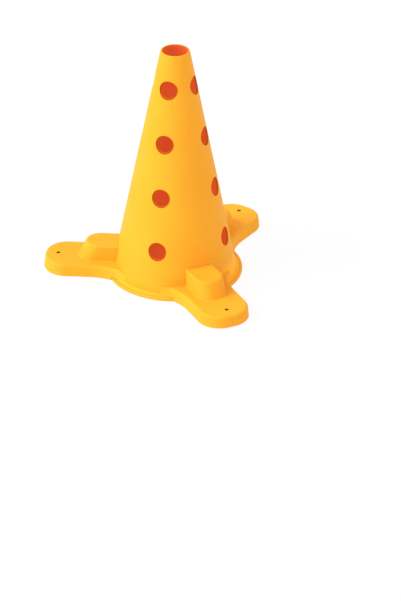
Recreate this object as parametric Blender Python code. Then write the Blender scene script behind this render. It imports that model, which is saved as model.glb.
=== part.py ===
"""Training cone: a pierced plastic cone held down by a slip-on base with three weighted feet.

Lengths are in metres and +Z is up. The origin is on the floor, on the cone's axis.
The pole holes run along X and along Y, and the front foot points half way between +X and -Y.
"""

import math

import bmesh
import bpy
from mathutils import Matrix, Vector

# Cone, measured on its outside
CONE_HEIGHT = 0.380
CONE_TOP_RADIUS = 0.0225
CONE_BASE_RADIUS = 0.0975
CONE_WALL = 0.0022
RIM_WIDTH = 0.0034
RIM_DEPTH = 0.006

# Round disc that closes the foot of the cone, with a spigot that the cone fits over
DISC_MARGIN = 0.0082
DISC_THICKNESS = 0.0053
DISC_ROUNDING = 0.0016
SPIGOT_HEIGHT = 0.008
SPIGOT_WALL = 0.003

# Pole holes, in four columns a quarter turn apart
HOLE_DIAMETER = 0.0285
HOLE_ROWS = 4
LOWEST_HOLE_HEIGHT = 0.0727
TOP_HOLE_DROP = 0.0535

# Liner inside the cone, with a floor that stands on the disc inside its spigot
LINER_WALL = 0.0012

# Slip-on base; each foot runs on past its housing and stands out beside it, and its flanks
# sweep into the cone
BASE_THICKNESS = 0.0205
BASE_LIFT = 0.0012
BASE_WALL = 0.003
BASE_DRAFT = 0.0015
BASE_TOP_ROUNDING = 0.0045
BASE_FOOT_ROUNDING = 0.0012
FOOT_TOE_LENGTH = 0.0540
FOOT_SIDE_LEDGE = 0.0176
FOOT_TIP_RADIUS = 0.036
FOOT_ROOT_FILLET = 0.088
FOOT_ROOT_SINK = 0.0020
PEG_HOLE_DIAMETER = 0.0063
PEG_EDGE_DISTANCE = 0.0217
PEG_TUBE_WALL = 0.0025

# Ring that joins the three feet; it lies in a groove of the disc, flush with its top, and a
# cove sweeps up from it to the cone
RING_MARGIN = 0.0040
RING_THICKNESS = 0.0027
COVE_RADIUS = 0.006

# Ballast housing on the root of each foot; its length runs out from the disc
HOUSING_RISE = 0.0262
HOUSING_TOP_LENGTH = 0.0320
HOUSING_TOP_HALF_WIDTH = 0.0228
HOUSING_END_LEAN = 0.0125
HOUSING_SIDE_LEAN = 0.0008
HOUSING_CORNER_RADIUS = 0.0205
HOUSING_ROUNDING = 0.0035

# Hollow under each foot, and what closes it
POCKET_DRAFT = 0.0025
POCKET_CORNER_RADIUS = 0.004
COVER_RECESS = 0.0008
COVER_THICKNESS = 0.003
PAD_EDGE_MARGIN = 0.010
PAD_SCREW_MARGIN = 0.005
PAD_CORNER_RADIUS = 0.008
BALLAST_GAP = 0.0006

# Cover screws
SCREW_EDGE_DISTANCE = 0.0075
SCREW_PEG_GAP = 0.0018
SCREW_END_GAP = 0.0029
SCREW_BOSS_RADIUS = 0.0036
SCREW_HEAD_RADIUS = 0.0032
SCREW_HEAD_HEIGHT = 0.0016
SCREW_HEAD_CHAMFER = 0.0003
SCREW_SHANK_RADIUS = 0.0015
SCREW_TIP_LENGTH = 0.0012
SCREW_SOCKET_RADIUS = 0.0016
SCREW_SOCKET_DEPTH = 0.0009
SOCKET_INNER_SHARE = 0.72
SCREW_TIP_SHARE = 0.3

# Largest corner radius, as a share of the half width that it rounds
ROUNDEST_SHARE = 0.95

# Clearances, and how far a cutter runs past what it cuts
CLEARANCE = 0.0003
SLIDE_CLEARANCE = 0.0005
DISC_CLEARANCE = 0.0008
OVERRUN = 0.001
MERGE_DISTANCE = 0.000001

# Facets
TURNED_STEPS = 56
HOLE_STEPS = 20
SMALL_ROUND_STEPS = 12
FILLET_STEPS = 6
CORNER_STEPS = 6
ROOT_ARC_STEPS = 3
ROUNDING_STEPS = 3

FULL_TURN = 2 * math.pi
QUARTER_TURN = math.pi / 2
THIRD_TURN = FULL_TURN / 3
SHARP_ANGLE = math.radians(35)
COVE_SWEEP = math.radians(50)
FOOT_DIRECTIONS = {
    "front": math.radians(-45),
    "back": math.radians(75),
    "left": math.radians(195),
}

# Sizes that follow from the ones above
DISC_RADIUS = CONE_BASE_RADIUS + DISC_MARGIN
CONE_FOOT = DISC_THICKNESS + CLEARANCE
SPIGOT_TOP = DISC_THICKNESS + SPIGOT_HEIGHT
LINER_FOOT = DISC_THICKNESS + CLEARANCE
LINER_SHOULDER = SPIGOT_TOP + CLEARANCE
RECESS_CEILING = DISC_THICKNESS + CLEARANCE
RING_RADIUS = CONE_BASE_RADIUS + RING_MARGIN
RING_BOTTOM = DISC_THICKNESS - RING_THICKNESS
FOOT_ROOT_RADIUS = CONE_BASE_RADIUS - FOOT_ROOT_SINK
HOUSING_ROOT_LENGTH = HOUSING_TOP_LENGTH + HOUSING_END_LEAN
HOUSING_ROOT_HALF_WIDTH = HOUSING_TOP_HALF_WIDTH + HOUSING_SIDE_LEAN
FOOT_REACH = DISC_RADIUS + HOUSING_ROOT_LENGTH + FOOT_TOE_LENGTH
FOOT_HALF_WIDTH = HOUSING_ROOT_HALF_WIDTH + FOOT_SIDE_LEDGE
FOOT_TIP = min(FOOT_TIP_RADIUS, ROUNDEST_SHARE * FOOT_HALF_WIDTH)
PEG_REACH = FOOT_REACH - PEG_EDGE_DISTANCE
PEG_HOLE_RADIUS = PEG_HOLE_DIAMETER / 2
PEG_TUBE_RADIUS = PEG_HOLE_RADIUS + PEG_TUBE_WALL
HOLE_RADIUS = HOLE_DIAMETER / 2
HOUSING_TOP = BASE_THICKNESS + HOUSING_RISE
POCKET_START = DISC_RADIUS + DISC_CLEARANCE + BASE_WALL
POCKET_CEILING = BASE_THICKNESS - BASE_WALL
POCKET_END = FOOT_REACH - BASE_WALL
POCKET_HALF_WIDTH = FOOT_HALF_WIDTH - BASE_WALL
HOUSING_CORNER = min(
    HOUSING_CORNER_RADIUS,
    ROUNDEST_SHARE * HOUSING_TOP_HALF_WIDTH,
    DISC_RADIUS + HOUSING_TOP_LENGTH - POCKET_START - BALLAST_GAP - POCKET_CORNER_RADIUS,
)
COVER_BOTTOM = BASE_LIFT + COVER_RECESS
COVER_TOP = COVER_BOTTOM + COVER_THICKNESS
SCREW_SEAT = COVER_BOTTOM + SCREW_HEAD_HEIGHT
SCREW_SHANK_LENGTH = POCKET_CEILING - SCREW_END_GAP - SCREW_SEAT
SCREW_HOLE_RADIUS = SCREW_SHANK_RADIUS + CLEARANCE
ROOT_SCREW_REACH = POCKET_START + SCREW_EDGE_DISTANCE
TOE_SCREW_REACH = PEG_REACH - PEG_TUBE_RADIUS - SCREW_PEG_GAP - SCREW_BOSS_RADIUS
SCREW_SIDE = (HOUSING_ROOT_HALF_WIDTH - BASE_WALL + POCKET_HALF_WIDTH) / 2
SCREW_PLACES = (
    (ROOT_SCREW_REACH, -SCREW_SIDE),
    (ROOT_SCREW_REACH, SCREW_SIDE),
    (TOE_SCREW_REACH, 0),
)


def clear_scene():
    for old in list(bpy.data.objects):
        bpy.data.objects.remove(old, do_unlink=True)


def plain_material(name, colour, roughness, metallic=0.0):
    material = bpy.data.materials.new(name)
    material.use_nodes = True
    shader = material.node_tree.nodes["Principled BSDF"]
    shader.inputs["Base Color"].default_value = (*colour, 1.0)
    shader.inputs["Roughness"].default_value = roughness
    shader.inputs["Metallic"].default_value = metallic
    material.diffuse_color = (*colour, 1.0)
    return material


def empty_from(name, parent=None, turn=0.0):
    empty = bpy.data.objects.new(name, None)
    empty.rotation_euler.z = turn
    empty.parent = parent
    bpy.context.scene.collection.objects.link(empty)
    return empty


def object_from(name, mesh, parent, material=None):
    piece = bpy.data.objects.new(name, mesh)
    piece.parent = parent
    bpy.context.scene.collection.objects.link(piece)
    if material:
        mesh.materials.clear()
        mesh.materials.append(material)
    return piece


def guide_from(name, mesh, parent):
    """A shape that only adds to or cuts another one."""
    guide = object_from(name, mesh, parent)
    guide.hide_render = True
    guide.display_type = "WIRE"
    return guide


def combine(piece, guide, operation):
    modifier = piece.modifiers.new(f"{operation.lower()} {guide.name}", "BOOLEAN")
    modifier.operation = operation
    modifier.solver = "EXACT"
    modifier.object = guide


def mesh_from(name, shape):
    """Finish a bmesh: faces out, smooth but for its real edges."""
    bmesh.ops.recalc_face_normals(shape, faces=shape.faces)
    mesh = bpy.data.meshes.new(name)
    shape.to_mesh(mesh)
    shape.free()
    mesh.shade_smooth()
    mesh.set_sharp_from_angle(angle=SHARP_ANGLE)
    return mesh


def turned(profile):
    """Spin a closed profile of (radius, height) points about Z."""
    shape = bmesh.new()
    points = [shape.verts.new((radius, 0, height)) for radius, height in profile]
    edges = [shape.edges.new(pair) for pair in zip(points, points[1:] + points[:1])]
    bmesh.ops.spin(
        shape,
        geom=points + edges,
        cent=(0, 0, 0),
        axis=(0, 0, 1),
        angle=FULL_TURN,
        steps=TURNED_STEPS,
        use_merge=True,
    )
    bmesh.ops.remove_doubles(shape, verts=shape.verts, dist=MERGE_DISTANCE)
    return shape


def lofted(loops):
    """Join loops of as many points each into one closed solid, capped at both ends."""
    shape = bmesh.new()
    rows = [[shape.verts.new(point) for point in loop] for loop in loops]
    for lower, upper in zip(rows, rows[1:]):
        for i in range(len(lower)):
            j = (i + 1) % len(lower)
            shape.faces.new((lower[i], lower[j], upper[j], upper[i]))
    shape.faces.new(list(reversed(rows[0])))
    shape.faces.new(rows[-1])
    return shape


def at_height(outline, height):
    return [Vector((x, y, height)) for x, y in outline]


def arc(centre, radius, start, end, steps):
    angles = [start + (end - start) * i / steps for i in range(steps + 1)]
    return [
        (centre[0] + radius * math.cos(a), centre[1] + radius * math.sin(a)) for a in angles
    ]


def circle(radius, steps, centre=(0, 0)):
    return arc(centre, radius, 0, FULL_TURN, steps)[:-1]


def cylinder(radius, bottom, top, steps, centre=(0, 0)):
    outline = circle(radius, steps, centre)
    return lofted([at_height(outline, bottom), at_height(outline, top)])


def merged(shapes):
    """Put separate bmeshes into one."""
    whole = bmesh.new()
    for shape in shapes:
        carrier = bpy.data.meshes.new("carrier")
        shape.to_mesh(carrier)
        shape.free()
        whole.from_mesh(carrier)
        bpy.data.meshes.remove(carrier)
    return whole


def at_each_foot(build):
    """Build the same shape at all three feet; it is drawn with the foot along +X."""
    shapes = []
    for direction in FOOT_DIRECTIONS.values():
        shape = build()
        bmesh.ops.transform(shape, matrix=Matrix.Rotation(direction, 4, "Z"), verts=shape.verts)
        shapes.append(shape)
    return merged(shapes)


def tongue(start, end, half_width, end_radius, start_radius=0.0):
    """Outline of a tongue along +X, with its own corner radius at either end."""
    corners = (
        (start + start_radius, -half_width + start_radius, start_radius, 2),
        (end - end_radius, -half_width + end_radius, end_radius, 3),
        (end - end_radius, half_width - end_radius, end_radius, 4),
        (start + start_radius, half_width - start_radius, start_radius, 5),
    )
    outline = []
    for x, y, radius, quarter in corners:
        steps = CORNER_STEPS if radius else 0
        if steps:
            begin = quarter * QUARTER_TURN
            outline += arc((x, y), radius, begin, begin + QUARTER_TURN, steps)
        else:
            outline.append((x, y))
    return outline


def cone_radius(height):
    """Outside of the cone at a height; its side is straight."""
    return CONE_BASE_RADIUS + (CONE_TOP_RADIUS - CONE_BASE_RADIUS) * height / CONE_HEIGHT


def hole_heights():
    spacing = (CONE_HEIGHT - TOP_HOLE_DROP - LOWEST_HOLE_HEIGHT) / (HOLE_ROWS - 1)
    return [LOWEST_HOLE_HEIGHT + spacing * row for row in range(HOLE_ROWS)]


def heights_between_rows():
    heights = hole_heights()
    return [(low + high) / 2 for low, high in zip(heights, heights[1:])]


def cone_shell_shape():
    rounding = RIM_WIDTH / 2
    rim_centre = (CONE_TOP_RADIUS - rounding, CONE_HEIGHT - rounding)
    step_height = CONE_HEIGHT - RIM_DEPTH
    profile = [(cone_radius(height), height) for height in (CONE_FOOT, *heights_between_rows())]
    profile += arc(rim_centre, rounding, 0, 2 * QUARTER_TURN, 2 * ROUNDING_STEPS)
    profile.append((CONE_TOP_RADIUS - RIM_WIDTH, step_height))
    inner_heights = (step_height, *reversed(heights_between_rows()), CONE_FOOT)
    profile += [(cone_radius(height) - CONE_WALL, height) for height in inner_heights]
    return turned(profile)


def stacked_circles(profile):
    """Solid of revolution whose profile of (radius, height) points leaves and meets its axis."""
    return lofted([at_height(circle(radius, TURNED_STEPS), height) for radius, height in profile])


def disc_shape():
    edge = DISC_RADIUS - DISC_ROUNDING
    lower = (edge, DISC_ROUNDING)
    upper = (edge, DISC_THICKNESS - DISC_ROUNDING)
    profile = arc(lower, DISC_ROUNDING, -QUARTER_TURN, 0, ROUNDING_STEPS)
    profile += arc(upper, DISC_ROUNDING, 0, QUARTER_TURN, ROUNDING_STEPS)
    groove_outside = RING_RADIUS + CLEARANCE
    groove_inside = cone_radius(CONE_FOOT)
    groove_floor = RING_BOTTOM - CLEARANCE
    profile += [(groove_outside, DISC_THICKNESS), (groove_outside, groove_floor)]
    profile += [(groove_inside, groove_floor), (groove_inside, DISC_THICKNESS)]
    inset = CONE_WALL + CLEARANCE
    for height in (DISC_THICKNESS, SPIGOT_TOP):
        profile.append((cone_radius(height) - inset, height))
    bore = cone_radius(SPIGOT_TOP) - inset - SPIGOT_WALL
    profile += [(bore, SPIGOT_TOP), (bore, DISC_THICKNESS)]
    return stacked_circles(profile)


def liner_shape():
    """Tall cup whose foot is drawn in at a shoulder, to stand inside the spigot."""
    outside = CONE_WALL + CLEARANCE
    inside = outside + LINER_WALL
    foot = cone_radius(SPIGOT_TOP) - outside - SPIGOT_WALL - CLEARANCE
    top = CONE_HEIGHT - RIM_DEPTH - CLEARANCE
    outer_heights = (LINER_SHOULDER, *heights_between_rows(), top)
    inner_heights = (top, *reversed(heights_between_rows()), LINER_SHOULDER + LINER_WALL)
    profile = [(foot, LINER_FOOT), (foot, LINER_SHOULDER)]
    profile += [(cone_radius(height) - outside, height) for height in outer_heights]
    profile += [(cone_radius(height) - inside, height) for height in inner_heights]
    profile.append((foot - LINER_WALL, LINER_SHOULDER + LINER_WALL))
    profile.append((foot - LINER_WALL, LINER_FOOT + LINER_WALL))
    return stacked_circles(profile)


def hole_bars(turn):
    """One bar through the cone for each row of holes, along X and then turned."""
    half_length = CONE_BASE_RADIUS + OVERRUN
    shapes = []
    for height in hole_heights():
        bar = cylinder(HOLE_RADIUS, -half_length, half_length, HOLE_STEPS)
        lay = Matrix.Rotation(QUARTER_TURN, 4, "Y")
        place = Matrix.Translation((0, 0, height))
        matrix = Matrix.Rotation(turn, 4, "Z") @ place @ lay
        bmesh.ops.transform(bar, matrix=matrix, verts=bar.verts)
        shapes.append(bar)
    return merged(shapes)


def base_outline(inset):
    """Three feet, drawn in by an inset: every arc keeps its centre.

    The flanks' fillets run out on a circle that the bore takes away again.
    """
    fillet_side = FOOT_HALF_WIDTH + FOOT_ROOT_FILLET
    fillet_out = math.sqrt((FOOT_ROOT_RADIUS + FOOT_ROOT_FILLET) ** 2 - fillet_side**2)
    meeting = math.atan2(fillet_side, fillet_out)
    tip = FOOT_REACH - FOOT_TIP
    tip_side = FOOT_HALF_WIDTH - FOOT_TIP
    half = arc((0, 0), FOOT_ROOT_RADIUS - inset, THIRD_TURN / 2, meeting, ROOT_ARC_STEPS)
    half += arc(
        (fillet_out, fillet_side),
        FOOT_ROOT_FILLET + inset,
        2 * QUARTER_TURN + meeting,
        3 * QUARTER_TURN,
        FILLET_STEPS,
    )[1:]
    half += arc((tip, tip_side), FOOT_TIP - inset, QUARTER_TURN, 0, CORNER_STEPS)
    foot = [(x, -y) for x, y in half] + list(reversed(half))[:-1]
    outline = []
    for direction in sorted(FOOT_DIRECTIONS.values()):
        turn = Matrix.Rotation(direction, 2)
        outline += [tuple(turn @ Vector(point)) for point in foot]
    return outline


def base_shape():
    loops = []
    for i in range(ROUNDING_STEPS + 1):
        angle = QUARTER_TURN * i / ROUNDING_STEPS
        height = BASE_LIFT + BASE_FOOT_ROUNDING * (1 - math.cos(angle))
        inset = BASE_FOOT_ROUNDING * (1 - math.sin(angle))
        loops.append(at_height(base_outline(inset), height))
    shoulder = BASE_THICKNESS - BASE_TOP_ROUNDING
    for i in range(ROUNDING_STEPS + 1):
        angle = QUARTER_TURN * i / ROUNDING_STEPS
        height = shoulder + BASE_TOP_ROUNDING * math.sin(angle)
        inset = BASE_DRAFT + BASE_TOP_ROUNDING * (1 - math.cos(angle))
        loops.append(at_height(base_outline(inset), height))
    return lofted(loops)


def housing_outline(height, inset, start, start_radius=0.0):
    """Ballast housing at a height: its sides and its outer end lean in towards its top."""
    share = (HOUSING_TOP - height) / HOUSING_RISE
    end = DISC_RADIUS + HOUSING_TOP_LENGTH + HOUSING_END_LEAN * share - inset
    half_width = HOUSING_TOP_HALF_WIDTH + HOUSING_SIDE_LEAN * share - inset
    return tongue(start, end, half_width, HOUSING_CORNER - inset, start_radius)


def housing_shape():
    """Drafted block that starts inside the bore, which later trims it to the cone."""
    bore = cone_radius(HOUSING_TOP) + SLIDE_CLEARANCE
    start = math.sqrt(bore**2 - HOUSING_ROOT_HALF_WIDTH**2) - OVERRUN
    root = BASE_THICKNESS / 2
    loops = [at_height(housing_outline(root, 0, start), root)]
    for i in range(ROUNDING_STEPS + 1):
        angle = QUARTER_TURN * i / ROUNDING_STEPS
        height = HOUSING_TOP - HOUSING_ROUNDING * (1 - math.sin(angle))
        inset = HOUSING_ROUNDING * (1 - math.cos(angle))
        loops.append(at_height(housing_outline(height, inset, start), height))
    return lofted(loops)


def ring_shape():
    """Full disc, a little too wide and too deep: the bore and the disc's recess trim it."""
    edge = RING_RADIUS + OVERRUN
    cove_centre = (RING_RADIUS, DISC_THICKNESS + COVE_RADIUS)
    cove_start = 3 * QUARTER_TURN
    profile = [(edge, RING_BOTTOM - OVERRUN), (edge, DISC_THICKNESS)]
    profile += arc(cove_centre, COVE_RADIUS, cove_start, cove_start - COVE_SWEEP, ROUNDING_STEPS)
    return stacked_circles(profile)


def bore_shape():
    """Room for the cone inside the ring, the feet and the housings."""
    bottom = -OVERRUN
    top = HOUSING_TOP + OVERRUN
    loops = []
    for height in (bottom, top):
        outline = circle(cone_radius(height) + SLIDE_CLEARANCE, TURNED_STEPS)
        loops.append(at_height(outline, height))
    return lofted(loops)


def disc_recess_shape():
    """Room for the disc under the roots of the feet, with a step that leaves the ring."""
    radius = DISC_RADIUS + DISC_CLEARANCE
    profile = [(radius, -OVERRUN), (radius, RECESS_CEILING)]
    profile += [(RING_RADIUS, RECESS_CEILING), (RING_RADIUS, RING_BOTTOM)]
    return stacked_circles(profile)


def pocket_outline(height, inset=0.0):
    """Hollow under a foot: it narrows towards its ceiling."""
    draft = POCKET_DRAFT * (height - BASE_LIFT) / (POCKET_CEILING - BASE_LIFT)
    return tongue(
        POCKET_START + inset,
        POCKET_END - draft - inset,
        POCKET_HALF_WIDTH - draft - inset,
        FOOT_TIP - BASE_WALL - draft - inset,
        POCKET_CORNER_RADIUS,
    )


def pocket_shape():
    loops = [at_height(pocket_outline(height), height) for height in (-OVERRUN, POCKET_CEILING)]
    return lofted(loops)


def housing_pocket_shape():
    loops = []
    for height in (POCKET_CEILING - OVERRUN, HOUSING_TOP - BASE_WALL):
        outline = housing_outline(height, BASE_WALL, POCKET_START, POCKET_CORNER_RADIUS)
        loops.append(at_height(outline, height))
    return lofted(loops)


def bosses_shape():
    """Peg tube and screw bosses that hang from the ceiling of the hollow."""
    top = POCKET_CEILING + OVERRUN
    tube = cylinder(PEG_TUBE_RADIUS, BASE_LIFT, top, HOLE_STEPS, (PEG_REACH, 0))
    seat = COVER_TOP + CLEARANCE
    bosses = [
        cylinder(SCREW_BOSS_RADIUS, seat, top, SMALL_ROUND_STEPS, place)
        for place in SCREW_PLACES
    ]
    return merged([tube, *bosses])


def drillings_shape():
    """Peg hole right through the foot, and a blind hole for each screw."""
    through = cylinder(
        PEG_HOLE_RADIUS, -OVERRUN, BASE_THICKNESS + OVERRUN, HOLE_STEPS, (PEG_REACH, 0)
    )
    depth = SCREW_SEAT + SCREW_SHANK_LENGTH + CLEARANCE
    blind = [
        cylinder(SCREW_HOLE_RADIUS, -OVERRUN, depth, SMALL_ROUND_STEPS, place)
        for place in SCREW_PLACES
    ]
    return merged([through, *blind])


def ballast_slab_shape():
    """Lower part of the ballast, between the screw bosses."""
    start = POCKET_START + BALLAST_GAP
    end = TOE_SCREW_REACH - SCREW_BOSS_RADIUS - BALLAST_GAP
    half_width = SCREW_SIDE - SCREW_BOSS_RADIUS - BALLAST_GAP
    outline = tongue(start, end, half_width, POCKET_CORNER_RADIUS, POCKET_CORNER_RADIUS)
    bottom = COVER_TOP + CLEARANCE
    top = POCKET_CEILING - BALLAST_GAP
    return lofted([at_height(outline, bottom), at_height(outline, top)])


def ballast_block_shape():
    """Upper part of the ballast, which fills the housing."""
    inset = BASE_WALL + BALLAST_GAP
    start = POCKET_START + BALLAST_GAP
    bottom = POCKET_CEILING - BALLAST_GAP - OVERRUN
    loops = []
    for height in (bottom, HOUSING_TOP - inset):
        outline = housing_outline(height, inset, start, POCKET_CORNER_RADIUS)
        loops.append(at_height(outline, height))
    return lofted(loops)


def cover_shape():
    loops = [
        at_height(pocket_outline(height, CLEARANCE), height)
        for height in (COVER_BOTTOM, COVER_TOP)
    ]
    return lofted(loops)


def cover_drillings_shape():
    """Holes for the peg tube and the screws, with a recess round each screw head."""
    top = COVER_TOP + OVERRUN
    tube = cylinder(PEG_TUBE_RADIUS + CLEARANCE, 0, top, HOLE_STEPS, (PEG_REACH, 0))
    shapes = [tube]
    recess = SCREW_HEAD_RADIUS + CLEARANCE
    ceiling = SCREW_SEAT + CLEARANCE
    for place in SCREW_PLACES:
        loops = [
            at_height(circle(radius, SMALL_ROUND_STEPS, place), height)
            for radius, height in (
                (recess, 0),
                (recess, ceiling),
                (SCREW_HOLE_RADIUS, ceiling),
                (SCREW_HOLE_RADIUS, top),
            )
        ]
        shapes.append(lofted(loops))
    return merged(shapes)


def pad_shape():
    start = ROOT_SCREW_REACH + SCREW_HEAD_RADIUS + PAD_SCREW_MARGIN
    end = TOE_SCREW_REACH - SCREW_HEAD_RADIUS - PAD_SCREW_MARGIN
    half_width = POCKET_HALF_WIDTH - PAD_EDGE_MARGIN
    outline = tongue(start, end, half_width, PAD_CORNER_RADIUS, PAD_CORNER_RADIUS)
    return lofted([at_height(outline, 0), at_height(outline, COVER_BOTTOM - CLEARANCE)])


def screw_shape():
    """Self-tapping screw, head down, with a six-lobed socket; its seat is at height zero."""
    lobes = []
    for i, (x, y) in enumerate(circle(SCREW_SOCKET_RADIUS, SMALL_ROUND_STEPS)):
        share = SOCKET_INNER_SHARE if i % 2 else 1
        lobes.append((x * share, y * share))
    face = -SCREW_HEAD_HEIGHT
    loops = [at_height(lobes, face + SCREW_SOCKET_DEPTH), at_height(lobes, face)]
    tip = SCREW_SHANK_LENGTH - SCREW_TIP_LENGTH
    for radius, height in (
        (SCREW_HEAD_RADIUS - SCREW_HEAD_CHAMFER, face),
        (SCREW_HEAD_RADIUS, face + SCREW_HEAD_CHAMFER),
        (SCREW_HEAD_RADIUS, 0),
        (SCREW_SHANK_RADIUS, 0),
        (SCREW_SHANK_RADIUS, tip),
        (SCREW_SHANK_RADIUS * SCREW_TIP_SHARE, SCREW_SHANK_LENGTH),
    ):
        loops.append(at_height(circle(radius, SMALL_ROUND_STEPS), height))
    return lofted(loops)


def build_cone(axis):
    yellow = plain_material("yellow cone plastic", (0.95, 0.48, 0.03), 0.5)
    red = plain_material("red liner plastic", (0.65, 0.07, 0.02), 0.55)
    bars = [
        guide_from("pole_holes_along_x", mesh_from("bars along x", hole_bars(0)), axis),
        guide_from("pole_holes_along_y", mesh_from("bars along y", hole_bars(QUARTER_TURN)), axis),
    ]
    object_from("cone_disc", mesh_from("cone disc", disc_shape()), axis, yellow)
    shell = object_from("cone_shell", mesh_from("cone shell", cone_shell_shape()), axis, yellow)
    liner = object_from("cone_liner", mesh_from("cone liner", liner_shape()), axis, red)
    for piece in (shell, liner):
        for bar in bars:
            combine(piece, bar, "DIFFERENCE")


def build_base(lift):
    yellow = plain_material("yellow base plastic", (0.95, 0.50, 0.03), 0.5)
    base = object_from("base_shell", mesh_from("base shell", base_shape()), lift, yellow)
    steps = (
        ("ring", ring_shape(), "UNION"),
        ("housings", at_each_foot(housing_shape), "UNION"),
        ("cone_bore", bore_shape(), "DIFFERENCE"),
        ("disc_recess", disc_recess_shape(), "DIFFERENCE"),
        ("foot_hollows", at_each_foot(pocket_shape), "DIFFERENCE"),
        ("housing_hollows", at_each_foot(housing_pocket_shape), "DIFFERENCE"),
        ("bosses", at_each_foot(bosses_shape), "UNION"),
        ("drillings", at_each_foot(drillings_shape), "DIFFERENCE"),
    )
    for name, shape, operation in steps:
        combine(base, guide_from(name, mesh_from(name, shape), lift), operation)


def build_foot(name, direction, lift, materials):
    foot = empty_from(f"foot_{name}", lift, direction)
    ballast = object_from(
        f"ballast_block_{name}",
        mesh_from("ballast slab", ballast_slab_shape()),
        foot,
        materials["ballast"],
    )
    upper = guide_from(
        f"ballast_top_{name}", mesh_from("ballast top", ballast_block_shape()), foot
    )
    combine(ballast, upper, "UNION")
    cover = object_from(
        f"foot_cover_{name}", mesh_from("foot cover", cover_shape()), foot, materials["cover"]
    )
    drillings = guide_from(
        f"cover_drillings_{name}", mesh_from("cover drillings", cover_drillings_shape()), foot
    )
    combine(cover, drillings, "DIFFERENCE")
    object_from(
        f"floor_pad_{name}", mesh_from("floor pad", pad_shape()), foot, materials["pad"]
    )
    screw_mesh = mesh_from("cover screw", screw_shape())
    for number, (x, y) in enumerate(SCREW_PLACES, start=1):
        screw = object_from(f"cover_screw_{name}_{number}", screw_mesh, foot, materials["screw"])
        screw.location = (x, y, SCREW_SEAT)


def build():
    clear_scene()
    axis = empty_from("cone_axis")
    lift = empty_from("base_lift", axis)
    build_cone(axis)
    build_base(lift)
    materials = {
        "ballast": plain_material("cast ballast", (0.10, 0.10, 0.11), 0.7, 0.6),
        "cover": plain_material("yellow cover plastic", (0.90, 0.46, 0.03), 0.6),
        "pad": plain_material("dark pad rubber", (0.03, 0.03, 0.03), 0.8),
        "screw": plain_material("zinc screw steel", (0.55, 0.55, 0.56), 0.35, 1.0),
    }
    for name, direction in FOOT_DIRECTIONS.items():
        build_foot(name, direction, lift, materials)


build()
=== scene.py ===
# %% [markdown]
# # A training cone with a weighted base
#
# The object is a tall hollow cone of yellow plastic, pierced by round holes for poles, and a base with
# three feet that drops over it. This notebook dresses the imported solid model: each visible solid is
# modelled again with fine, soft edges, and gets a material made of nodes.

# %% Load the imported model
import math

import bmesh
import bpy
from mathutils import Matrix, Vector


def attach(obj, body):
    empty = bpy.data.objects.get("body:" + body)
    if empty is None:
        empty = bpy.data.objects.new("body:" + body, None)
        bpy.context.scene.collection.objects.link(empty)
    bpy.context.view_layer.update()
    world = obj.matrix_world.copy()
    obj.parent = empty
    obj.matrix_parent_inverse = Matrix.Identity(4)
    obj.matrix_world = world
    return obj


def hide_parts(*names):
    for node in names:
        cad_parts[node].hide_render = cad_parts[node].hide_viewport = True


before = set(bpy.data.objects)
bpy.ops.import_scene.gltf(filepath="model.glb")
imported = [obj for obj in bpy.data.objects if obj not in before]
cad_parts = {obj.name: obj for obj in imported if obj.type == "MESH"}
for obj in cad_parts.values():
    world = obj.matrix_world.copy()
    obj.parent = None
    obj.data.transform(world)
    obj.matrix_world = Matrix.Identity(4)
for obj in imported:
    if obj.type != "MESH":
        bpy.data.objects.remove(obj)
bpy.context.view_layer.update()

# %% [markdown]
# ## Sizes
#
# These are the real sizes of the plastic parts, in metres, and the directions of the three feet. A piece
# that replaces a solid has to stay where the solid is, so it repeats the solid's sizes.

# %% Sizes of the cone, the disc and the base
CONE_HEIGHT = 0.380
CONE_TOP_RADIUS = 0.0225
CONE_BASE_RADIUS = 0.0975
CONE_WALL = 0.0022
CONE_FOOT = 0.0056
RIM_WIDTH = 0.0034
RIM_DEPTH = 0.006
HOLE_RADIUS = 0.01425
HOLE_HEIGHTS = [0.0727, 0.1573, 0.2419, 0.3265]

LINER_WALL = 0.0012
DISC_RADIUS = 0.1057
DISC_THICKNESS = 0.0053
DISC_ROUNDING = 0.0016
SPIGOT_TOP = 0.0133
SPIGOT_WALL = 0.003

BASE_BOTTOM = 0.0012
BASE_TOP = 0.0205
FOOT_REACH = 0.2042
FOOT_HALF_WIDTH = 0.0412
FOOT_TIP_RADIUS = 0.036
FOOT_ROOT_FILLET = 0.088
FOOT_ROOT_RADIUS = 0.0955
RECESS_RADIUS = 0.1065
RECESS_CEILING = 0.0056
RING_RADIUS = 0.1015
RING_BOTTOM = 0.0026
COVE_RADIUS = 0.006
FOOT_ANGLES = {"front": math.radians(-45), "back": math.radians(75), "left": math.radians(195)}
HOUSING_TOP = 0.0467
PEG_REACH = 0.1825
PEG_HOLE_RADIUS = 0.00315

GAP = 0.0003
HUG_GAP = 0.00012


def cone_radius(height):
    """Outside of the cone at a height."""
    return CONE_BASE_RADIUS + (CONE_TOP_RADIUS - CONE_BASE_RADIUS) * height / CONE_HEIGHT


print("cone radius at the lowest holes:", round(cone_radius(HOLE_HEIGHTS[0]), 4))

# %% [markdown]
# ## Helpers for modelling
#
# An operator acts on whatever is selected, so each step starts by deselecting everything. Faces, edges and
# points are then picked by a test on their place, as one would box-select them by hand.

# %% Select, edit and finish
def only(piece):
    """Leave edit mode and make this object the only selected one."""
    if bpy.context.object and bpy.context.object.mode == "EDIT":
        bpy.ops.object.mode_set(mode="OBJECT")
    bpy.ops.object.select_all(action="DESELECT")
    piece.select_set(True)
    bpy.context.view_layer.objects.active = piece


def settle(piece):
    """Move the object's own place, turn and size into its mesh."""
    only(piece)
    bpy.ops.object.transform_apply(location=True, rotation=True, scale=True)
    return piece


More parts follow.
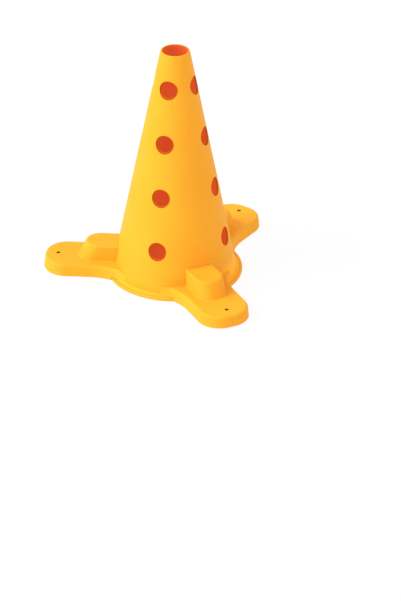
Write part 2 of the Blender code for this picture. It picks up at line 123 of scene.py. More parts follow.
def newest(name):
    """Name the primitive that was just added and settle it."""
    piece = bpy.context.object
    piece.name = piece.data.name = name
    return settle(piece)


def edit(piece, kind):
    """Go into edit mode with nothing selected; kind is VERT, EDGE or FACE."""
    only(piece)
    bpy.ops.object.mode_set(mode="EDIT")
    bpy.ops.mesh.select_mode(type=kind)
    bpy.ops.mesh.select_all(action="DESELECT")


def done():
    bpy.ops.object.mode_set(mode="OBJECT")


def pick(piece, kind, test):
    """Select, in edit mode, the points, edges or faces that pass a test of their middle."""
    shape = bmesh.from_edit_mesh(piece.data)
    parts = {"VERT": shape.verts, "EDGE": shape.edges, "FACE": shape.faces}[kind]
    found = 0
    for part in parts:
        points = [part] if kind == "VERT" else part.verts
        middle = sum((point.co for point in points), Vector()) / len(points)
        if test(middle, part):
            part.select_set(True)
            found += 1
    shape.select_flush_mode()
    bmesh.update_edit_mesh(piece.data)
    return found


def apply(piece, kind, **settings):
    """Add a modifier, set it up and apply it."""
    only(piece)
    modifier = piece.modifiers.new(kind.title(), kind)
    for name, value in settings.items():
        setattr(modifier, name, value)
    bpy.ops.object.modifier_apply(modifier=modifier.name)


def combine(piece, tool, operation="DIFFERENCE"):
    """Cut a piece with a tool shape, or weld the two, and throw the tool away."""
    apply(piece, "BOOLEAN", operation=operation, solver="EXACT", object=tool)
    bpy.data.objects.remove(tool, do_unlink=True)
    return piece


def join(pieces):
    """Put separate shapes into the first one's mesh."""
    only(pieces[0])
    for piece in pieces:
        piece.select_set(True)
    bpy.ops.object.join()
    return pieces[0]


def copy_turned(piece, angle, name):
    """A copy with its own mesh, turned about the cone's axis."""
    only(piece)
    bpy.ops.object.duplicate()
    bpy.context.object.rotation_euler.z = angle
    return newest(name)


def weld_and_face_out(piece, distance=1e-6):
    edit(piece, "VERT")
    bpy.ops.mesh.select_all(action="SELECT")
    bpy.ops.mesh.remove_doubles(threshold=distance)
    bpy.ops.mesh.normals_make_consistent(inside=False)
    done()


def soft_shading(piece, angle=35):
    """Smooth but for the real edges, with the large faces kept flat."""
    only(piece)
    bpy.ops.object.shade_smooth_by_angle(angle=math.radians(angle))
    apply(piece, "WEIGHTED_NORMAL", keep_sharp=True)
    piece.data.calc_loop_triangles()
    print(f"{piece.name}: {len(piece.data.loop_triangles)} triangles")


# %% [markdown]
# ## Lathe work
#
# A turned shape starts as one circle. Its edge is extruded from one point of the profile to the next and
# scaled to that point's radius. A hollow ring is closed by a bridge from the last loop to the first, and a
# solid one gets a face on each end.

# %% Extrude a circle along a profile
def turn(name, profile, segments, hollow):
    radius, height = profile[0]
    bpy.ops.object.select_all(action="DESELECT")
    bpy.ops.mesh.primitive_circle_add(vertices=segments, radius=radius, location=(0, 0, height))
    piece = newest(name)
    edit(piece, "EDGE")
    bpy.ops.mesh.select_all(action="SELECT")
    for next_radius, next_height in profile[1:]:
        rise = (0, 0, next_height - height)
        bpy.ops.mesh.extrude_edges_move(TRANSFORM_OT_translate={"value": rise})
        share = next_radius / radius
        bpy.ops.transform.resize(value=(share, share, 1), center_override=(0, 0, next_height))
        radius, height = next_radius, next_height
    if hollow:
        pick(piece, "EDGE", lambda middle, edge: edge.is_boundary)
        bpy.ops.mesh.bridge_edge_loops()
    else:
        bpy.ops.mesh.edge_face_add()
        bpy.ops.mesh.select_all(action="DESELECT")
        pick(piece, "EDGE", lambda middle, edge: edge.is_boundary)
        bpy.ops.mesh.edge_face_add()
    done()
    weld_and_face_out(piece)
    return piece


def arc(centre, radius, start, end, steps):
    """Points of a profile along an arc, angles in degrees."""
    angles = [math.radians(start + (end - start) * i / steps) for i in range(steps + 1)]
    return [(centre[0] + radius * math.cos(a), centre[1] + radius * math.sin(a)) for a in angles]


def side(inset, low, high, steps):
    """Points up the cone's side, set in from its outside."""
    heights = [low + (high - low) * i / steps for i in range(steps + 1)]
    return [(cone_radius(height) - inset, height) for height in heights]


# %% [markdown]
# ## The cone
#
# The real cone is one thin moulding, 2.2 mm thick, with a rounded rim that is thicker than the wall. It is
# turned from a profile that goes up the outside, over the rim and down the inside. Bars then cut the holes,
# two crossing ways at each of four heights. The points where a bar meets the wall lie close together, so
# they are merged before the edge of each hole is bevelled, as a mould leaves it.

# %% Turn the cone
CONE_SEGMENTS = 240
FOOT_ROUND = 0.0004
rim_round = RIM_WIDTH / 2
rim_middle = (CONE_TOP_RADIUS - rim_round, CONE_HEIGHT - rim_round)
rim_step = CONE_HEIGHT - RIM_DEPTH

profile = [(cone_radius(CONE_FOOT) - FOOT_ROUND, CONE_FOOT)]
profile += side(0, CONE_FOOT + FOOT_ROUND, rim_middle[1] - rim_round, 12)
profile += arc(rim_middle, rim_round, 0, 180, 12)
profile += [(CONE_TOP_RADIUS - RIM_WIDTH, rim_step + FOOT_ROUND)]
profile += [(CONE_TOP_RADIUS - RIM_WIDTH + FOOT_ROUND, rim_step)]
profile += list(reversed(side(CONE_WALL, CONE_FOOT, rim_step, 12)))
cone = turn("cone_moulding", profile, CONE_SEGMENTS, hollow=True)


# %% Cut the pole holes
HOLE_SEGMENTS = 64
BAR_LENGTH = 2 * CONE_BASE_RADIUS + 0.01


def pole_bars(turned, radius):
    """Four bars, one through each row of holes."""
    bars = []
    for height in HOLE_HEIGHTS:
        bpy.ops.object.select_all(action="DESELECT")
        bpy.ops.mesh.primitive_cylinder_add(
            vertices=HOLE_SEGMENTS,
            radius=radius,
            depth=BAR_LENGTH,
            location=(0, 0, height),
            rotation=(math.pi / 2, 0, turned),
        )
        bars.append(newest("pole_bar"))
    return join(bars)


def pierce(piece, radius):
    for turned in (0, math.pi / 2):
        combine(piece, pole_bars(turned, radius))
    weld_and_face_out(piece, 0.00022)


def hole_distance(point):
    """Distance of a point from the axis of the nearest pole hole."""
    rise = min(abs(point.z - height) for height in HOLE_HEIGHTS)
    return math.hypot(min(abs(point.x), abs(point.y)), rise)


def on_hole_edge(middle, edge):
    points = [hole_distance(vert.co) for vert in edge.verts]
    near = all(abs(distance - HOLE_RADIUS) < 0.0001 for distance in points)
    return near and edge.calc_face_angle(0) > math.radians(50)


def shade_as(piece, model):
    """Give the sides of a pierced piece the even shading of its model from before the cuts."""
    only(piece)
    bpy.ops.object.vertex_group_add()
    for vert in piece.data.vertices:
        outside = hole_distance(vert.co) > HOLE_RADIUS - 0.00005
        piece.vertex_groups[0].add([vert.index], float(outside), "REPLACE")
    apply(
        piece,
        "DATA_TRANSFER",
        object=model,
        use_loop_data=True,
        data_types_loops={"CUSTOM_NORMAL"},
        loop_mapping="POLYINTERP_NEAREST",
        vertex_group=piece.vertex_groups[0].name,
    )
    bpy.data.objects.remove(model, do_unlink=True)


def soften_holes(piece, width):
    edit(piece, "EDGE")
    found = pick(piece, "EDGE", on_hole_edge)
    bpy.ops.mesh.bevel(offset=width, segments=3, affect="EDGES")
    done()
    print(f"{piece.name}: {found} hole edges softened")


plain_cone = copy_turned(cone, 0, "plain_cone")
soft_shading(plain_cone, 40)
pierce(cone, HOLE_RADIUS)
soften_holes(cone, 0.0005)
soft_shading(cone, 40)
shade_as(cone, plain_cone)

# %% [markdown]
# ## The red lining
#
# Through the mouth and through every hole the photograph shows an even red. Here it is a thin cup that is
# pushed up into the cone from below and stands on the closing disc. It is turned and pierced as the cone is,
# but its holes are a little smaller, so that a narrow dark ring shows inside each hole of the cone, and a
# thin lip brings its red up to the rim of the mouth.

# %% Turn and pierce the lining
liner_outside = CONE_WALL + GAP
liner_inside = liner_outside + LINER_WALL
liner_foot = DISC_THICKNESS + GAP
liner_shoulder = SPIGOT_TOP + GAP
liner_neck = cone_radius(SPIGOT_TOP) - liner_outside - SPIGOT_WALL - GAP
liner_top = CONE_HEIGHT - RIM_DEPTH - GAP
LIP_RADIUS = 0.0190
LIP_WALL = 0.0003
LIP_TOP = 0.3784
LIP_FOOT = 0.3690
LINER_HOLE_RADIUS = 0.0127

profile = [(liner_neck, liner_foot), (liner_neck, liner_shoulder)]
profile += side(liner_outside, liner_shoulder, liner_top, 12)
profile += [(LIP_RADIUS, liner_top), (LIP_RADIUS, LIP_TOP), (LIP_RADIUS - LIP_WALL, LIP_TOP)]
profile += list(reversed(side(liner_inside, liner_shoulder + LINER_WALL, LIP_FOOT, 12)))
profile += [(liner_neck - LINER_WALL, liner_shoulder + LINER_WALL)]
profile += [(liner_neck - LINER_WALL, liner_foot + LINER_WALL)]
lining = turn("red_lining", profile, CONE_SEGMENTS, hollow=False)
pierce(lining, LINER_HOLE_RADIUS)
soft_shading(lining, 40)

# %% [markdown]
# ## The closing disc
#
# A round disc closes the foot of the cone, and its rim shows between the feet. A raised ring on it, the
# spigot, plugs into the cone, and a groove round the cone takes the flat ring of the base. One profile, from
# the middle of the underside to the floor inside the spigot, gives all of it.

# %% Turn the disc
edge = DISC_RADIUS - DISC_ROUNDING
profile = [(edge - 0.004, 0), *arc((edge, DISC_ROUNDING), DISC_ROUNDING, -90, 0, 5)]
profile += arc((edge, DISC_THICKNESS - DISC_ROUNDING), DISC_ROUNDING, 0, 90, 5)
profile += [(RING_RADIUS + GAP, DISC_THICKNESS), (RING_RADIUS + GAP, RING_BOTTOM - GAP)]
profile += [(cone_radius(CONE_FOOT), RING_BOTTOM - GAP), (cone_radius(CONE_FOOT), DISC_THICKNESS)]
profile += side(liner_outside, DISC_THICKNESS, SPIGOT_TOP - FOOT_ROUND, 1)
spigot_bore = cone_radius(SPIGOT_TOP) - liner_outside - SPIGOT_WALL
profile += [(cone_radius(SPIGOT_TOP) - liner_outside - FOOT_ROUND, SPIGOT_TOP)]
profile += [(spigot_bore, SPIGOT_TOP), (spigot_bore, DISC_THICKNESS)]
disc = turn("closing_disc", profile, CONE_SEGMENTS, hollow=False)
soft_shading(disc)

# %% [markdown]
# ## The outline of the base
#
# Seen from above, the base is three feet round the cone, and every corner of it is an arc. The flanks of the
# feet sweep into the cone, so their arcs run out on a circle that the bore takes away later. Half a foot is
# traced from one point: spinning that point about the centre of an arc draws the arc, and extruding it draws
# the straight side. The mirror gives the other half, and two turned copies give the other feet.

# %% Trace half a foot, then mirror and copy it
fillet_y = FOOT_HALF_WIDTH + FOOT_ROOT_FILLET
fillet_x = math.sqrt((FOOT_ROOT_RADIUS + FOOT_ROOT_FILLET) ** 2 - fillet_y**2)
meeting = math.atan2(fillet_y, fillet_x)
tip = Vector((FOOT_REACH - FOOT_TIP_RADIUS, FOOT_HALF_WIDTH - FOOT_TIP_RADIUS, 0))
OUTLINE_HEIGHT = 0.0024


def start_outline(name, place):
    """One point: a small plane, merged at its centre."""
    bpy.ops.object.select_all(action="DESELECT")
    bpy.ops.mesh.primitive_plane_add(size=0.001, location=place)
    piece = newest(name)
    edit(piece, "VERT")
    bpy.ops.mesh.select_all(action="SELECT")
    bpy.ops.mesh.merge(type="CENTER")
    return piece


def draw_arc(centre, angle, steps):
    """Swing the selected point about a centre; spin counts its angle clockwise."""
    bpy.ops.mesh.spin(steps=steps, angle=-angle, center=centre, axis=(0, 0, 1))


start = Matrix.Rotation(math.radians(60), 3, "Z") @ Vector((FOOT_ROOT_RADIUS, 0, 0))
foot = start_outline("foot_outline", start + Vector((0, 0, OUTLINE_HEIGHT)))
draw_arc((0, 0, 0), meeting - math.radians(60), 4)
draw_arc((fillet_x, fillet_y, 0), math.radians(90) - meeting, 24)
straight = (tip.x - fillet_x, 0, 0)
bpy.ops.mesh.extrude_vertices_move(TRANSFORM_OT_translate={"value": straight})
draw_arc(tip, math.radians(-90), 18)
bpy.ops.mesh.extrude_vertices_move(TRANSFORM_OT_translate={"value": (0, -tip.y, 0)})
done()
ends = [Vector(vert.co) for vert in foot.data.vertices]
print("the foot reaches", round(max(point.x for point in ends), 4))

apply(foot, "MIRROR", use_axis=(False, True, False), use_clip=True, merge_threshold=1e-5)
others = [copy_turned(foot, math.radians(turned), "foot_outline") for turned in (120, 240)]
base = join([foot, *others])
base.name = base.data.name = "base_moulding"
base.rotation_euler.z = FOOT_ANGLES["front"]
settle(base)
weld_and_face_out(base, 1e-5)

# %% [markdown]
# ## The plate of the base
#
# The outline becomes a face, and insets that also lift the face draw the plate from it: one for the slightly
# leaning side, and a few small ones for the rounded shoulder. A second face, lowered, rounds the foot edge.

# %% Draw the plate up and down from its outline
DRAFT = 0.0015
SHOULDER_ROUND = 0.0045
EDGE_ROUND = OUTLINE_HEIGHT - BASE_BOTTOM


def round_over(radius, steps):
    """Insets of the selected face that follow a quarter circle, outward side first."""
    turns = [math.pi / 2 * i / steps for i in range(steps + 1)]
    for low, high in zip(turns, turns[1:]):
        inward = radius * (math.cos(low) - math.cos(high))
        outward = radius * (math.sin(high) - math.sin(low))
        bpy.ops.mesh.inset(thickness=inward, depth=outward)


edit(base, "EDGE")
bpy.ops.mesh.select_all(action="SELECT")
bpy.ops.mesh.edge_face_add()
bpy.ops.mesh.select_mode(type="FACE")
upward = bmesh.from_edit_mesh(base.data).faces[:][0].normal.z > 0
if not upward:
    bpy.ops.mesh.flip_normals()
bpy.ops.mesh.inset(thickness=DRAFT, depth=BASE_TOP - SHOULDER_ROUND - OUTLINE_HEIGHT)
round_over(SHOULDER_ROUND, 6)
bpy.ops.mesh.select_all(action="DESELECT")
bpy.ops.mesh.select_mode(type="EDGE")
pick(base, "EDGE", lambda middle, edge: edge.is_boundary)
bpy.ops.mesh.edge_face_add()
bpy.ops.mesh.select_mode(type="FACE")
bpy.ops.mesh.normals_make_consistent(inside=False)
round_over(EDGE_ROUND, 3)
done()
weld_and_face_out(base)
print("plate:", [round(side, 4) for side in base.dimensions])

# %% [markdown]
# ## The three housings
#
# A housing for ballast rises on the root of each foot. It starts as a cube whose top is drawn in, more at
# the outer end than at the sides. Its upright edges and then its top edge are bevelled. It is welded to the
# plate, and the crease between the two is filled with a small fillet, as moulded plastic always has.

# %% A block with rounded corners
def block(name, start, end, half_width, low, high):
    bpy.ops.object.select_all(action="DESELECT")
    bpy.ops.mesh.primitive_cube_add(
        size=1,
        location=((start + end) / 2, 0, (low + high) / 2),
        scale=(end - start, 2 * half_width, high - low),
    )
    return newest(name)


def round_uprights(piece, test, radius, steps):
    """Bevel the upright edges whose middle passes a test."""
    edit(piece, "EDGE")
    pick(piece, "EDGE", lambda middle, edge: upright(edge) and test(middle))
    bpy.ops.mesh.bevel(offset=radius, segments=steps, affect="EDGES")
    done()


def upright(edge):
    low, high = sorted(vert.co.z for vert in edge.verts)
    return high - low > 0.9 * edge.calc_length() * 0.8


# %% Model one housing and weld three of them on
HOUSING_ROOT_END = 0.1502
HOUSING_TOP_END = 0.1377
HOUSING_ROOT_HALF_WIDTH = 0.0236
HOUSING_TOP_HALF_WIDTH = 0.0228
HOUSING_CORNER = 0.0205
HOUSING_START = 0.0835
HOUSING_ROUND = 0.0028


def lean_in(piece, middle_x, end_shift, side_shift, high):
    """Draw in the top of a block at its outer end and at its sides."""
    for pick_test, shift in (
        (lambda at, vert: at.z > high and at.x > middle_x, (-end_shift, 0, 0)),
        (lambda at, vert: at.z > high and at.y > 0, (0, -side_shift, 0)),
        (lambda at, vert: at.z > high and at.y < 0, (0, side_shift, 0)),
    ):
        edit(piece, "VERT")
        pick(piece, "VERT", pick_test)
        bpy.ops.transform.translate(value=shift)
        done()


def housing_at(height):
    """End and half width of the housing at a height."""
    share = (HOUSING_TOP - height) / (HOUSING_TOP - BASE_TOP)
    end = HOUSING_TOP_END + (HOUSING_ROOT_END - HOUSING_TOP_END) * share
    return end, HOUSING_TOP_HALF_WIDTH + (HOUSING_ROOT_HALF_WIDTH - HOUSING_TOP_HALF_WIDTH) * share


def housing_block(name, start, low, high, inset, start_radius):
    """The housing, or with an inset the hollow inside it."""
    low_end, low_half = housing_at(low)
    high_end, high_half = housing_at(high)
    piece = block(name, start, low_end - inset, low_half - inset, low, high)
    middle = (start + low_end) / 2
    lean_in(piece, middle, low_end - high_end, low_half - high_half, (low + high) / 2)
    round_uprights(piece, lambda at: at.x > middle, HOUSING_CORNER - inset, 14)
    if start_radius:
        round_uprights(piece, lambda at: at.x < start + start_radius / 2, start_radius, 4)
    return piece


housing = housing_block("housing", HOUSING_START, BASE_TOP / 2, HOUSING_TOP, 0, 0)
edit(housing, "EDGE")
at_top = lambda middle, edge: all(vert.co.z > HOUSING_TOP - 1e-5 for vert in edge.verts)
pick(housing, "EDGE", lambda middle, edge: at_top(middle, edge) and middle.x > HOUSING_START + 1e-4)
bpy.ops.mesh.bevel(offset=HOUSING_ROUND, segments=5, affect="EDGES")
done()

for angle in FOOT_ANGLES.values():
    combine(base, copy_turned(housing, angle, "housing_copy"), "UNION")
bpy.data.objects.remove(housing, do_unlink=True)
weld_and_face_out(base, 1e-5)


# %% Fill the creases
CREASE_FILLET = 0.0018


def in_crease(middle, edge):
    level = all(abs(vert.co.z - BASE_TOP) < 1e-5 for vert in edge.verts)
    return level and edge.calc_face_angle(0) > math.radians(45)


edit(base, "EDGE")
creases = pick(base, "EDGE", in_crease)
bpy.ops.mesh.bevel(offset=CREASE_FILLET, segments=4, affect="EDGES")
done()
print("crease edges:", creases)

# %% [markdown]
# ## The openings of the base
#
# A flat ring joins the three feet. It lies in the groove of the disc, so between the feet only the disc seems
# to show. A tapered bore takes the cone, and a shallow recess with a step takes the rim of the disc and leaves
# the ring. The lower edges of the flanks are rounded over the disc, which gives each root its dark slot.
# Under each foot is the hollow that holds the ballast, with a tube for the ground peg and a boss for each
# screw left standing in it.

# %% Ring, bore and disc recess
OVERRUN = 0.001
SLOT_ROUND = 0.0014
COVE_END = 210


def tube(name, radius, low, high, place=(0, 0), top_radius=None, segments=48):
    bpy.ops.object.select_all(action="DESELECT")
    bpy.ops.mesh.primitive_cone_add(
        vertices=segments,
        radius1=radius,
        radius2=top_radius or radius,
        depth=high - low,
        location=(*place, (low + high) / 2),
    )
    return newest(name)


profile = [(RING_RADIUS + OVERRUN, RING_BOTTOM - OVERRUN), (RING_RADIUS + OVERRUN, DISC_THICKNESS)]
profile += arc((RING_RADIUS, DISC_THICKNESS + COVE_RADIUS), COVE_RADIUS, 270, COVE_END, 6)
combine(base, turn("ring", profile, CONE_SEGMENTS, hollow=False), "UNION")
bore_low, bore_high = -OVERRUN, HOUSING_TOP + OVERRUN
bore = tube(
    "bore",
    cone_radius(bore_low) + HUG_GAP,
    bore_low,
    bore_high,
    top_radius=cone_radius(bore_high) + HUG_GAP,
    segments=CONE_SEGMENTS,
)
combine(base, bore)
profile = [(RECESS_RADIUS, -OVERRUN), (RECESS_RADIUS, RECESS_CEILING)]
profile += [(RING_RADIUS, RECESS_CEILING), (RING_RADIUS, RING_BOTTOM)]
combine(base, turn("recess", profile, CONE_SEGMENTS, hollow=False))
weld_and_face_out(base, 1e-5)


def flank_foot(middle, edge):
    """Lower edge of a flank over the disc: level, and not along one of the recess's circles."""
    near, far = (math.hypot(vert.co.x, vert.co.y) for vert in edge.verts)
    level = all(abs(vert.co.z - RECESS_CEILING) < 1e-5 for vert in edge.verts)
    return level and abs(near - far) > 0.0002


edit(base, "EDGE")
flanks = pick(base, "EDGE", flank_foot)
bpy.ops.mesh.bevel(offset=SLOT_ROUND, segments=3, affect="EDGES")
done()
weld_and_face_out(base, 1e-5)
print("edges rounded over the disc:", flanks)

# %% Hollows with their tubes and bosses
POCKET_START = 0.1095
POCKET_END = 0.2012
POCKET_HALF_WIDTH = 0.0382
POCKET_TIP = 0.033
POCKET_ROOT = 0.004
POCKET_CEILING = 0.0175
HOUSING_CEILING = 0.0437
PEG_TUBE_RADIUS = 0.00565
BOSS_RADIUS = 0.0036
SCREW_HOLE_RADIUS = 0.0018
SCREW_PLACES = [(0.117, -0.0294), (0.117, 0.0294), (0.17145, 0)]


def tongue(name, inset, low, high):
    """The outline of the hollow under a foot, as a block."""
    piece = block(
        name, POCKET_START + inset, POCKET_END - inset, POCKET_HALF_WIDTH - inset, low, high
    )
    round_uprights(piece, lambda at: at.x > PEG_REACH, POCKET_TIP - inset, 24)
    round_uprights(piece, lambda at: at.x < POCKET_START + 0.001, POCKET_ROOT - inset, 5)
    return piece


def add_at_feet(piece, operation="DIFFERENCE"):
    """Use one tool shape at all three feet of the base."""
    for angle in FOOT_ANGLES.values():
        combine(base, copy_turned(piece, angle, "tool_copy"), operation)
    bpy.data.objects.remove(piece, do_unlink=True)


hollow = tongue("hollow", 0, -OVERRUN, POCKET_CEILING)
upper = housing_block(
    "upper_hollow", POCKET_START, POCKET_CEILING - OVERRUN, HOUSING_CEILING, 0.003, POCKET_ROOT
)
combine(hollow, upper, "UNION")
combine(hollow, tube("peg_tube", PEG_TUBE_RADIUS, BASE_BOTTOM, 0.018, (PEG_REACH, 0)))
for place in SCREW_PLACES:
    combine(hollow, tube("boss", BOSS_RADIUS, 0.0053, 0.018, place, segments=24))
add_at_feet(hollow)
drills = [tube("peg_hole", PEG_HOLE_RADIUS, -OVERRUN, BASE_TOP + OVERRUN, (PEG_REACH, 0))]
drills += [
    tube("screw_hole", SCREW_HOLE_RADIUS, 0.004, 0.0149, place, segments=24)
    for place in SCREW_PLACES
]
add_at_feet(join(drills))
weld_and_face_out(base, 1e-5)
soft_shading(base, 35)


# %% Let the flanks fade into the cone
FADE_WIDTH = 0.009
FLAT_TOP = 0.0001


def fade(at):
    """1 on the flank where it meets the cone, 0 further out and on the flat top."""
    beside = math.hypot(at.x, at.y) - cone_radius(at.z) - HUG_GAP
    on_flank = DISC_THICKNESS < at.z < BASE_TOP - FLAT_TOP
    return max(0.0, 1 - beside / FADE_WIDTH) if on_flank else 0.0


def shade_toward_cone(piece):
    """Turn the shading of the faces that look outward toward that of the cone's side."""
    lean = math.atan2(CONE_BASE_RADIUS - CONE_TOP_RADIUS, CONE_HEIGHT)
    normals = [corner.vector.copy() for corner in piece.data.corner_normals]
    for face in piece.data.polygons:
        for corner in face.loop_indices:
            at = piece.data.vertices[piece.data.loops[corner].vertex_index].co
            outward = Vector((at.x, at.y, 0)).normalized()
            if face.normal.dot(outward) > 0:
                cone_side = outward * math.cos(lean) + Vector((0, 0, math.sin(lean)))
                normals[corner] = normals[corner].lerp(cone_side, fade(at)).normalized()
    piece.data.normals_split_custom_set(normals)


shade_toward_cone(base)

# %% [markdown]
# ## Covers, pads and screws
#
# Under each foot a plastic cover closes the hollow, three screws hold it, and a rubber pad stands on the
# floor. Each is modelled once, on a foot that points along X, and copied to the three feet.

# %% Foot cover: a plate with a groove round its edge
COVER_BOTTOM = 0.002
COVER_TOP = 0.005
GROOVE_DEPTH = 0.0005
SCREW_SEAT = 0.0036
SCREW_HEAD_RADIUS = 0.0032

cover = tongue("foot_cover", GAP, COVER_BOTTOM, COVER_TOP)
edit(cover, "FACE")
pick(cover, "FACE", lambda middle, face: face.normal.z < -0.9)
for thickness, depth in ((0.0014, 0), (0.0003, -GROOVE_DEPTH), (0.0006, 0), (0.0003, GROOVE_DEPTH)):
    bpy.ops.mesh.inset(thickness=thickness, depth=depth)
done()
combine(cover, tube("tube_hole", PEG_TUBE_RADIUS + GAP, 0, 0.006, (PEG_REACH, 0)))
for place in SCREW_PLACES:
    combine(cover, tube("head_recess", SCREW_HEAD_RADIUS + GAP, 0, SCREW_SEAT + GAP, place))
    combine(cover, tube("shank_hole", SCREW_HOLE_RADIUS, 0, 0.006, place, segments=24))
weld_and_face_out(cover, 1e-5)
apply(cover, "BEVEL", width=0.0002, segments=2, limit_method="ANGLE", angle_limit=math.radians(60))
soft_shading(cover)

# %% Rubber pad: rounded block with grooves that grip the floor
PAD_START, PAD_END = 0.1252, 0.1633
PAD_HALF_WIDTH = 0.0282
PAD_TOP = 0.0017
PAD_CORNER = 0.008
GROOVES = 7
GROOVE_WIDTH = 0.0016

pad = block("rubber_pad", PAD_START, PAD_END, PAD_HALF_WIDTH, 0, PAD_TOP)
round_uprights(pad, lambda at: True, PAD_CORNER, 8)
pitch = (PAD_END - PAD_START) / GROOVES
for i in range(1, GROOVES):
    x = PAD_START + pitch * i
    groove = block(
        "groove", x - GROOVE_WIDTH / 2, x + GROOVE_WIDTH / 2, PAD_HALF_WIDTH - 0.004, -0.001, 0.0007
    )
    round_uprights(groove, lambda at: True, 0.0007, 3)
    combine(pad, groove)
apply(pad, "BEVEL", width=0.00025, segments=2, limit_method="ANGLE", angle_limit=math.radians(50))
soft_shading(pad)

# %% Cover screw: turned, with a six-lobed socket in its head
head_face = COVER_BOTTOM
shank_tip = 0.0146
profile = [(SCREW_HEAD_RADIUS - 0.0008, head_face)]
profile += arc((SCREW_HEAD_RADIUS - 0.0005, head_face + 0.0005), 0.0005, -90, 0, 4)
profile += [(SCREW_HEAD_RADIUS, SCREW_SEAT - 0.0002), (SCREW_HEAD_RADIUS - 0.0002, SCREW_SEAT)]
profile += [(0.0015, SCREW_SEAT), (0.0015, shank_tip - 0.0012), (0.00045, shank_tip)]
screw = turn("cover_screw", profile, 48, hollow=False)

bpy.ops.object.select_all(action="DESELECT")
bpy.ops.mesh.primitive_cylinder_add(vertices=12, radius=0.0016, depth=0.0018, location=(0, 0, 0.002))
lobes = newest("socket")
edit(lobes, "VERT")
pick(lobes, "VERT", lambda at, vert: round(math.degrees(math.atan2(at.y, at.x)) / 30) % 2)
bpy.ops.transform.resize(value=(0.72, 0.72, 1), center_override=(0, 0, 0))
done()
round_uprights(lobes, lambda at: True, 0.0002, 3)
combine(screw, lobes)
weld_and_face_out(screw, 1e-6)
soft_shading(screw)

# %% Copy them to the feet
covers, pads, screws = [], [], []
for foot_name, angle in FOOT_ANGLES.items():
    covers.append(copy_turned(cover, angle, f"foot_cover_plate_{foot_name}"))
    pads.append(copy_turned(pad, angle, f"rubber_pad_{foot_name}"))
    for number, (x, y) in enumerate(SCREW_PLACES, start=1):
        only(screw)
        bpy.ops.object.duplicate()
        bpy.context.object.location = Matrix.Rotation(angle, 3, "Z") @ Vector((x, y, 0))
        bpy.context.object.rotation_euler.z = 0.9 * number + angle
        screws.append((newest(f"zinc_screw_{foot_name}_{number}"), f"cover_screw_{foot_name}_{number}"))
for model in (cover, pad, screw):
    bpy.data.objects.remove(model, do_unlink=True)
print(len(covers), "covers,", len(pads), "pads,", len(screws), "screws")

# %% [markdown]
# ## Writing materials as sums
#
# A material is a tree of nodes. Here a small class wraps one output of a node, so that a plain Python sum
# adds the Math nodes that work it out. A recipe makes all other nodes, and holds the shader.

# %% Sockets that can be added and multiplied
class Link:
    """One output of a node; the signs of Python add Math nodes to it."""

    def __init__(self, recipe, socket):
        self.recipe = recipe
        self.socket = socket

    def math(self, operation, first, second=0.0):
        return self.recipe.node("ShaderNodeMath", {"operation": operation}, {0: first, 1: second})

    def __add__(self, other):
        return self.math("ADD", self, other)

    def __sub__(self, other):
        return self.math("SUBTRACT", self, other)

    def __rsub__(self, other):
        return self.math("SUBTRACT", other, self)

    def __mul__(self, other):
        return self.math("MULTIPLY", self, other)

    def __pow__(self, other):
        return self.math("POWER", self, other)

    def smaller(self, other):
        return self.math("MINIMUM", self, other)

    def larger(self, other):
        return self.math("MAXIMUM", self, other)

    def __abs__(self):
        return self.math("ABSOLUTE", self)

    __radd__ = __add__
    __rmul__ = __mul__


class Recipe:
    """A material with its shader, whose unchanging settings are given by name."""

    def __init__(self, name, settings):
        self.material = bpy.data.materials.new(name)
        self.material.use_nodes = True
        self.tree = self.material.node_tree
        self.shader = self.tree.nodes["Principled BSDF"]
        for socket, value in settings.items():
            self.shader.inputs[socket].default_value = value
        self.place = self.node("ShaderNodeTexCoord", output="Object")

    def node(self, kind, settings=None, sockets=None, output=0):
        made = self.tree.nodes.new(kind)
        for name, value in (settings or {}).items():
            setattr(made, name, value)
        for name, value in (sockets or {}).items():
            self.feed(made.inputs[name], value)
        return Link(self, made.outputs[output])

    def feed(self, socket, value):
        if isinstance(value, Link):
            self.tree.links.new(value.socket, socket)
        else:
            socket.default_value = value

    def axes(self):
        """The x, y and z of the place, as three links."""
        return [self.node("ShaderNodeSeparateXYZ", sockets={0: self.place}, output=i) for i in range(3)]

    def noise(self, scale, detail=2.0):
        sockets = {"Vector": self.place, "Scale": scale, "Detail": detail}
        return self.node("ShaderNodeTexNoise", sockets=sockets)

    def between(self, value, low, high):
        """0 where the value is at low, 1 where it is at high, smooth on the way."""
        settings = {"interpolation_type": "SMOOTHSTEP"}
        return self.node("ShaderNodeMapRange", settings, {0: value, 1: low, 2: high})

    def mix(self, share, first, second):
        sockets = {0: share, 6: first, 7: second}
        return self.node("ShaderNodeMix", {"data_type": "RGBA"}, sockets, output=2)

    def bump(self, height, distance, strength=1.0):
        sockets = {"Height": height, "Distance": distance, "Strength": strength}
        return self.node("ShaderNodeBump", sockets=sockets)

    def finish(self, **links):
        for name, value in links.items():
            self.feed(self.shader.inputs[name.replace("_", " ")], value)
        return self.material


# %% [markdown]
# ## Yellow plastic
#
# The cone, the disc and the base are moulded in one warm yellow. The real surface is satin, with a very
# fine grain from the mould and faint clouds where the colour runs deeper. Painted shade turns the colour to
# a burnt orange at the cut edge of each hole and under the rim, and to a dark brown inside the peg holes,
# where little light gets in. A painted glow lifts these shaded places, the foot of the cone and the base
# low down beside the cone, and a faint patchy painted glow lies on the disc.

# %% Clouds, grain, painted shade and painted glow
YELLOW = (0.96, 0.405, 0.0235, 1)
DEEP_YELLOW = (0.94, 0.38, 0.0205, 1)
